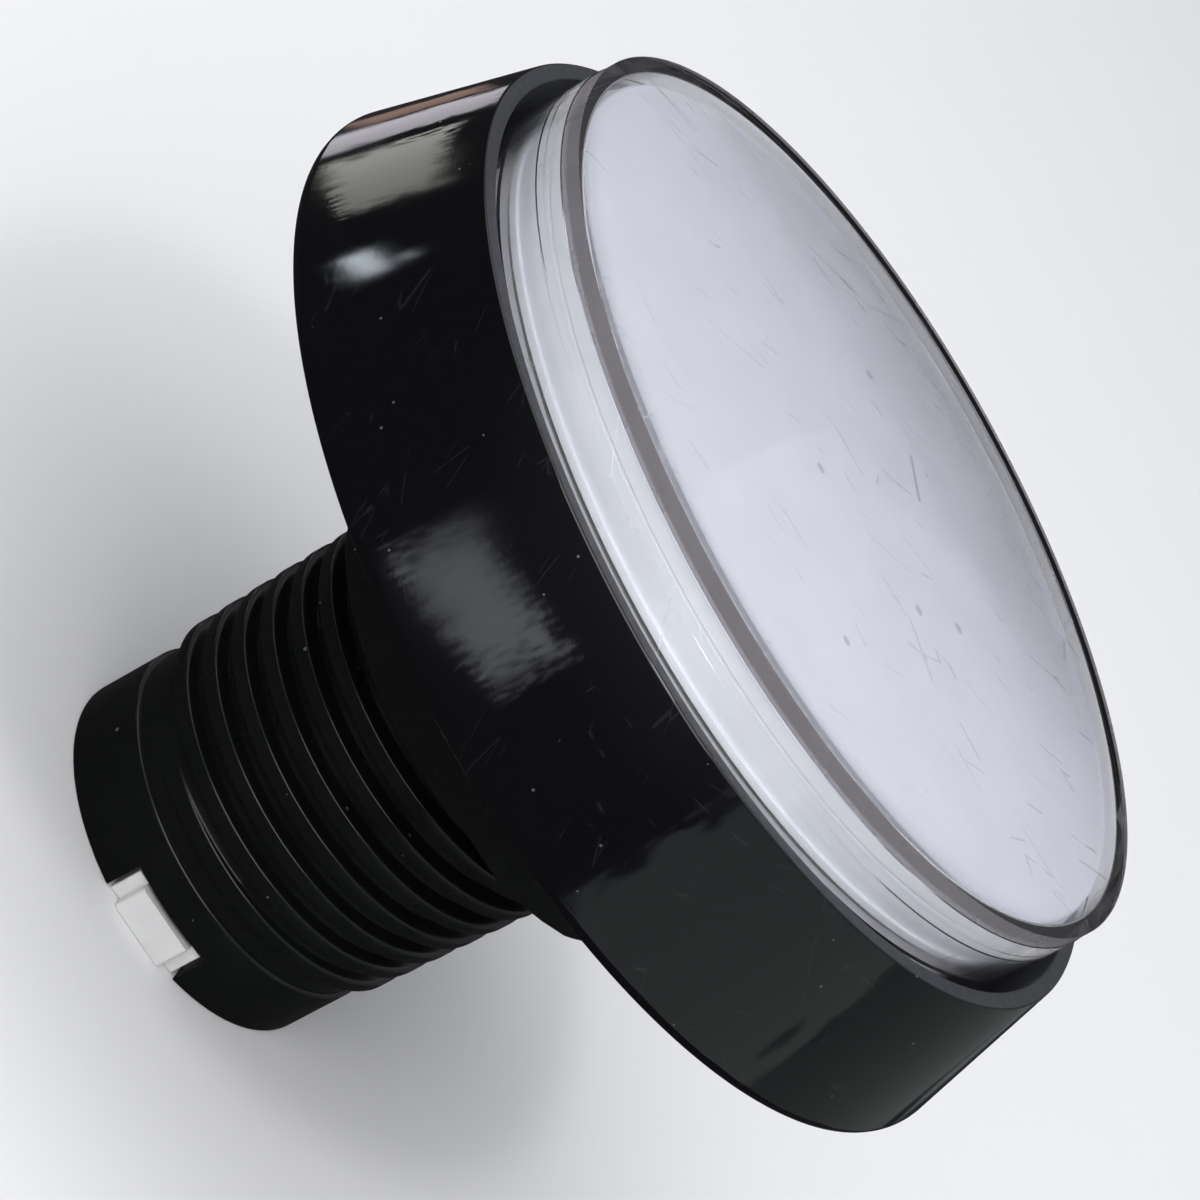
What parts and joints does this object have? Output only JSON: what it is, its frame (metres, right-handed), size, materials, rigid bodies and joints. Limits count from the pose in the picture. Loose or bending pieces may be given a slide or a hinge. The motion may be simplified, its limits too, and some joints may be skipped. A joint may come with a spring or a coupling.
{
  "type": "illuminated quiz buzzer button",
  "caption": "Large round push button for a quiz buzzer: clear lens over a white diffuser in a black conical bezel, on a threaded stem that holds a lamp and a microswitch.",
  "frame": {"origin": "on the button's axis, in the plane of the stem's open end", "axes": "+Z along the axis from the stem towards the pressed face; -Y through the middle of one notch in the stem's end; +X through the anti-turn lug on the neck"},
  "size_m": [0.06, 0.06, 0.0449],
  "materials": {
    "black_gloss": "polished black plastic with fine scratches",
    "black_matte": "satin black moulded plastic",
    "clear_plastic": "clear polished plastic with a faint violet tint",
    "diffuser_white": "milky white",
    "white_nylon": "natural white, satin",
    "spring_steel": "drawn wire and strip",
    "switch_plastic": "black moulded",
    "button_red": "moulded",
    "tinned_brass": "tinned",
    "board_green": "coated board",
    "lamp_clear": "clear moulded",
    "resistor_tan": "lacquered"
  },
  "bodies": {
    "housing": {"bezel_shell": "black_gloss", "threaded_body": "black_matte", "terminal_carrier": "white_nylon", "switch_case": "switch_plastic", "switch_cover": "switch_plastic", "lever_pin": "spring_steel", "contact_common": "tinned_brass", "contact_open": "tinned_brass", "contact_closed": "tinned_brass", "lamp_board": "board_green", "led_left": "lamp_clear", "led_right": "lamp_clear", "resistor": "resistor_tan", "lamp_tab_left": "tinned_brass", "lamp_tab_right": "tinned_brass", "return_spring": "spring_steel"},
    "button": {"lens_cap": "clear_plastic", "diffuser": "diffuser_white", "plunger": "white_nylon"},
    "lever": {"switch_lever": "spring_steel"},
    "switch_pin": {"switch_button": "button_red"},
    "blade": {"contact_blade": "tinned_brass"}
  },
  "joints": [
    {"name": "press", "type": "slide", "parent": "housing", "child": "button", "axis": [0, 0, -1], "range_m": [0, 0.0031], "stiffness_N_per_m": 470, "springref_m": -0.0031, "deforming": ["return_spring"]},
    {"name": "lever_swing", "type": "hinge", "parent": "housing", "child": "lever", "pos_m": [0.0053, -0.0012, 0.01405], "axis": [0, -1, 0], "range_deg": [0, 18.6]},
    {"name": "switch_travel", "type": "slide", "parent": "housing", "child": "switch_pin", "axis": [0, 0, -1], "range_m": [0, 0.00075]},
    {"name": "blade_flex", "type": "hinge", "parent": "housing", "child": "blade", "pos_m": [-0.00505, -0.0012, 0.01085], "axis": [0, 1, 0], "range_deg": [0, 4.3]}
  ],
  "couplings": [
    {"joint": "lever_swing", "follows": "press", "rad_per_m": 104.7},
    {"joint": "switch_travel", "follows": "press", "ratio": 0.2187},
    {"joint": "blade_flex", "follows": "press", "rad_per_m": 23.6}
  ]
}
